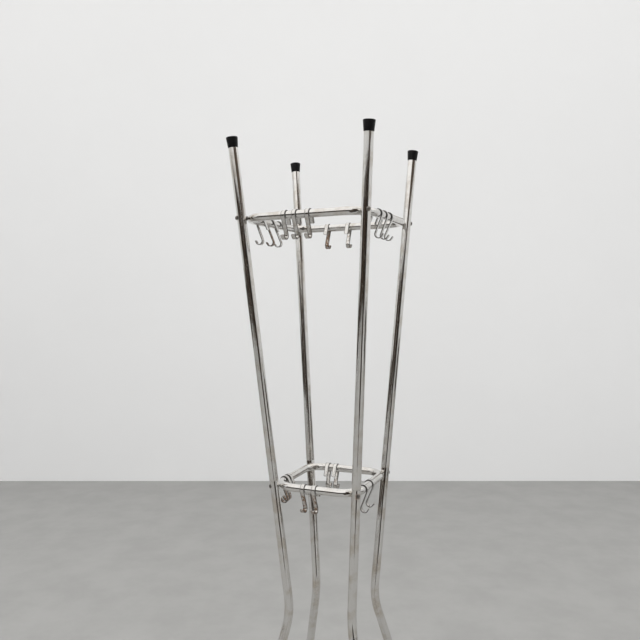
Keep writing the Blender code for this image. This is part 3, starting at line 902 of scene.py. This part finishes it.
def fastener_steel():
    """Dull plated steel with brown spots."""
    made, tree, shader = new_material("fastener_steel")
    plain = stretched(tree, (1, 1, 1))
    spots = mapped(tree, noise(tree, plain, STEEL_SPOT_SCALE, 5.0), *STEEL_SPOT_RANGE)
    shades = mapped(tree, noise(tree, plain, STEEL_TONE_SCALE, 3.0), *STEEL_TONE_RANGE)
    tone = blended(tree, shades, RUST_DARK, TARNISH)
    colour = blended(tree, math(tree, "MULTIPLY", spots, STEEL_SPOT_AMOUNT), STEEL, tone)
    tree.links.new(colour, shader.inputs["Base Color"])
    grain = noise(tree, plain, STEEL_GRAIN_SCALE, 3.0)
    rough = mapped(tree, grain, *MIDDLE_RANGE, *STEEL_ROUGHNESS)
    rough = math(tree, "ADD", rough, math(tree, "MULTIPLY", spots, STEEL_SPOT_ROUGHNESS))
    metal = math(tree, "SUBTRACT", 1.0, math(tree, "MULTIPLY", spots, STEEL_SPOT_DULLNESS))
    tree.links.new(rough, shader.inputs["Roughness"])
    tree.links.new(metal, shader.inputs["Metallic"])
    tree.links.new(bumped(tree, grain, STEEL_GRAIN_DEPTH, RELIEF), shader.inputs["Normal"])
    return made


def black_plastic():
    """Moulded plastic: a fine grain, faint scuffs and a trace of dust."""
    made, tree, shader = new_material("black_plastic")
    plain = stretched(tree, (1, 1, 1))
    shader.inputs["Specular IOR Level"].default_value = PLASTIC_SHINE
    settled = noise(tree, plain, PLASTIC_DUST_SCALE, 6.0, 0.7)
    dusty = mapped(tree, settled, *PLASTIC_DUST_RANGE, 0.0, PLASTIC_DUST_AMOUNT)
    tree.links.new(blended(tree, dusty, BLACK, DUST), shader.inputs["Base Color"])
    scuffs = noise(tree, plain, PLASTIC_SCUFF_SCALE, 4.0)
    rough = mapped(tree, scuffs, *MIDDLE_RANGE, *PLASTIC_ROUGHNESS)
    tree.links.new(rough, shader.inputs["Roughness"])
    grain = noise(tree, plain, PLASTIC_GRAIN_SCALE, 2.0)
    tree.links.new(bumped(tree, grain, PLASTIC_GRAIN_DEPTH, RELIEF), shader.inputs["Normal"])
    return made


# ---- Putting the rack together ----


def add_posts(corners):
    steel, plastic = fastener_steel(), black_plastic()
    for number, corner in enumerate(corners):
        seed = POST_SEED_STEP * number
        leg_seed = seed + LEG_SEED_SHIFT
        name = corner.name
        tube = chrome("tube_chrome_" + name, UPPER_TARNISH, UPPER_PITTING)
        screw_drop = (corner.seam.y - corner.height("lower_screw")) / cos(corner.lean)
        screw_at = (corner.radius, 0, screw_drop + leg_seed)
        leg = chrome("leg_chrome_" + name, LEG_TARNISH, LEG_PITTING, screw_at, SCREW_STAIN[name])
        seam = corner.place(corner.seam.x, corner.seam.y, corner.lean)
        add_piece("upper_tube_" + name, upper_tube_mesh(corner, seed), tube, seam)
        add_piece("lower_leg_" + name, lower_leg_mesh(corner, leg_seed), leg, corner.place())
        cap = corner.place(corner.top.x, corner.top.y, corner.lean)
        add_piece("top_plug_" + name, top_plug_mesh(corner, seed), plastic, cap)
        add_piece("foot_plug_" + name, foot_plug_mesh(corner, seed), plastic, corner.place())
        add_fasteners(corner, steel, seed)


def add_fasteners(corner, steel, seed):
    """The bolt, spacer and nut at the upper ring, and the screw and nut at the lower one."""
    inner, outer = corner.span("upper_bolt")
    height, seat = corner.height("upper_bolt"), outer - BOLT_HEAD_HEIGHT
    bolt_sizes = (BOLT_RADIUS, BOLT_HEAD_RADIUS, BOLT_HEAD_HEIGHT, BOLT_FLANGE)
    bolt = bolt_mesh("upper_bolt", seat - inner, *bolt_sizes, seed)
    add_piece("upper_bolt_" + corner.name, bolt, steel, corner.place(seat, height, pi / 2))
    start, end = corner.span("upper_spacer")
    spacer = spacer_mesh(end - start, BOLT_RADIUS + NUT_HOLE_GAP, seed)
    add_piece("upper_spacer_" + corner.name, spacer, steel, corner.place(start, height, pi / 2))
    inner, outer = corner.span("lower_screw")
    height, seat = corner.height("lower_screw"), outer - SCREW_HEAD_HEIGHT
    screw_sizes = (SCREW_RADIUS, SCREW_HEAD_RADIUS, SCREW_HEAD_HEIGHT, SCREW_RIM)
    screw = bolt_mesh("lower_screw", seat - inner, *screw_sizes, seed)
    add_piece("lower_screw_" + corner.name, slotted(screw), steel, corner.place(seat, height, pi / 2))
    for level, radius in (("upper", BOLT_RADIUS), ("lower", SCREW_RADIUS)):
        node = f"{level}_nut_{corner.name}"
        start, end = corner.span(f"{level}_nut")
        low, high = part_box(node)
        sideways = Vector((-corner.out.y, corner.out.x, 0))
        across_corners = max(high.z - low.z, span(node, sideways)[1] * 2)
        nut = nut_mesh(f"{level}_nut", across_corners, end - start, radius + NUT_HOLE_GAP, seed)
        add_piece(node, nut, steel, corner.place(end, (low.z + high.z) / 2, pi / 2))


def add_rings():
    for level, seed in RING_SEEDS.items():
        mesh, height = ring_mesh(level, seed)
        finish = chrome(f"{level}_ring_chrome", RING_TARNISH[level], RING_PITTING)
        add_piece(f"{level}_ring", mesh, finish, Matrix.Translation((0, 0, height)))


def add_hooks():
    """Each hook on its joint, hanging a little further in than its balance, and a little twisted."""
    draw = random.Random(HOOK_DRAW)
    low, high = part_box("upper_ring")
    bar_radius = (high.z - low.z) / 2
    for number, joint in enumerate(frame["joints"]):
        name = joint["child"]
        rust = HOOK_RUST.get(name, PLAIN_HOOK_RUST)
        axis = Vector(joint["axis"])
        outwards = Vector((0, 0, 1)).cross(axis)
        side = Matrix.Rotation(atan2(outwards.y, outwards.x), 4, "Z")
        tilt = Matrix.Rotation(draw.uniform(*TILTS), 4, "Y")
        twist = Matrix.Rotation(draw.uniform(-LARGEST_TWIST, LARGEST_TWIST), 4, "Z")
        seed = HOOK_SEED + number
        drop = Matrix.Translation((0, 0, -HOOK_DROP))
        place = Matrix.Translation(joint["pos_m"]) @ side @ tilt @ drop @ twist
        add_piece(name, hook_mesh(bar_radius, seed), hook_chrome("finish_" + name, rust, seed), place, name)


# ---- The studio ----


def plain_stage(name, colour, roughness, mottling, mottle_scale):
    """A matt surface with a faint mottling."""
    made, tree, shader = new_material(name)
    coordinates = add_node(tree, "ShaderNodeTexCoord").outputs["Object"]
    clouds = mapped(tree, noise(tree, coordinates, mottle_scale, 6.0, 0.6), 0.3, 0.7, 0.0, 1.0)
    darker = tuple(channel * (1 - mottling) for channel in colour)
    tree.links.new(blended(tree, clouds, (*darker, 1), (*colour, 1)), shader.inputs["Base Color"])
    shader.inputs["Roughness"].default_value = roughness
    return made


def stage_piece(name, mesh, material, matrix):
    mesh.materials.append(material)
    piece = bpy.data.objects.new(name, mesh)
    bpy.context.scene.collection.objects.link(piece)
    piece.matrix_world = matrix
    return piece


def panel_mesh(name, corners):
    mesh = bpy.data.meshes.new(name)
    mesh.from_pydata(corners, [], [tuple(range(len(corners)))])
    return mesh


def wall_mesh():
    """Four walls with rounded corners, open above."""
    bm = bmesh.new()
    bottom, top = [], []
    for x_sign, y_sign, start in ((1, 1, 0), (-1, 1, pi / 2), (-1, -1, pi), (1, -1, 3 * pi / 2)):
        depth = WALL_BEHIND if y_sign > 0 else WALL_BEFORE
        centre = Vector((x_sign * (WALL_ASIDE - WALL_CORNER), y_sign * (depth - WALL_CORNER)))
        for place, _ in arc(centre, WALL_CORNER, start, start + pi / 2, CORNER_STEPS):
            bottom.append(bm.verts.new((place.x, place.y, 0)))
            top.append(bm.verts.new((place.x, place.y, WALL_HEIGHT)))
    bridge(bm, [bottom, top], closed=False)
    mesh = bpy.data.meshes.new("walls")
    bm.to_mesh(mesh)
    bm.free()
    mesh.shade_smooth()
    return mesh


def add_card(name, azimuths, distance, heights, colour, streaks):
    """A curved card for the chrome to reflect, seen only in reflections."""
    made, tree, shader = new_material(name)
    coordinates = add_node(tree, "ShaderNodeTexCoord").outputs["Object"]
    values = {"Vector": coordinates, "Scale": (1, 1, CARD_BAND_STRETCH)}
    drawn = add_node(tree, "ShaderNodeMapping", values).outputs["Vector"]
    bands = mapped(tree, noise(tree, drawn, CARD_BAND_SCALE, 4.0), *CARD_BAND_RANGE)
    tree.links.new(blended(tree, bands, (*colour, 1), (*streaks, 1)), shader.inputs["Base Color"])
    shader.inputs["Roughness"].default_value = 1.0
    shader.inputs["Specular IOR Level"].default_value = 0.0
    bm = bmesh.new()
    start, end = (radians(azimuth) - pi / 2 for azimuth in azimuths)
    line = arc(Vector((0, 0)), distance, start, end, CARD_STEPS)
    posts = [[bm.verts.new((place.x, place.y, height)) for height in heights] for place, _ in line]
    for (foot, head), (next_foot, next_head) in zip(posts, posts[1:]):
        bm.faces.new((foot, next_foot, next_head, head))
    card = stage_piece(name, finished_mesh(bm, name), made, Matrix.Rotation(CAMERA_YAW, 4, "Z"))
    card.visible_camera = False
    card.visible_diffuse = False
    card.visible_shadow = False


def add_light(name, azimuth, distance, height, size, power):
    """A soft box that looks at the middle of the rack."""
    lamp = bpy.data.lights.new(name, "AREA")
    lamp.shape = "RECTANGLE"
    lamp.size, lamp.size_y = size
    lamp.energy = power
    turn = CAMERA_YAW + radians(azimuth)
    place = Vector((distance * sin(turn), -distance * cos(turn), height))
    light = bpy.data.objects.new(name, lamp)
    bpy.context.scene.collection.objects.link(light)
    light.location = place
    aim = Vector((0, 0, CAD_BOX[1].z / 2)) - place
    light.rotation_euler = aim.to_track_quat("-Z", "Y").to_euler()
    light.visible_glossy = False


def add_studio():
    square = Matrix.Rotation(CAMERA_YAW + WALL_YAW, 4, "Z")
    floor_texture = (FLOOR_ROUGHNESS, FLOOR_MOTTLING, FLOOR_MOTTLE_SCALE)
    floor = plain_stage("floor_grey", FLOOR_COLOUR, *floor_texture)
    far, near, aside = WALL_BEHIND, -WALL_BEFORE, WALL_ASIDE
    corners = [(-aside, near, 0), (aside, near, 0), (aside, far, 0), (-aside, far, 0)]
    stage_piece("floor", panel_mesh("floor", corners), floor, square)
    wall_texture = (WALL_ROUGHNESS, WALL_MOTTLING, WALL_MOTTLE_SCALE)
    wall = plain_stage("wall_white", WALL_COLOUR, *wall_texture)
    stage_piece("walls", wall_mesh(), wall, square)
    for card in CARDS:
        add_card(*card)
    for light in LIGHTS:
        add_light(*light)
    world = bpy.data.worlds.new("studio")
    bpy.context.scene.world = world
    world.use_nodes = True
    sky = world.node_tree.nodes["Background"]
    sky.inputs["Color"].default_value = SKY_COLOUR
    sky.inputs["Strength"].default_value = SKY_STRENGTH


def add_camera():
    lens = bpy.data.cameras.new("camera")
    lens.sensor_width = CAMERA_SENSOR
    lens.lens = CAMERA_LENS
    camera = bpy.data.objects.new("camera", lens)
    bpy.context.scene.collection.objects.link(camera)
    turn = Matrix.Rotation(CAMERA_YAW, 4, "Z") @ Matrix.Rotation(pi / 2 - CAMERA_DIP, 4, "X")
    camera.matrix_world = Matrix.Translation(CAMERA_PLACE) @ turn @ Matrix.Rotation(-CAMERA_ROLL, 4, "Z")
    bpy.context.scene.camera = camera


corners = [Corner(mount) for mount in RECORD["mounts"]]
add_posts(corners)
add_rings()
add_hooks()
add_studio()
add_camera()
bpy.context.scene.view_settings.view_transform = "Standard"
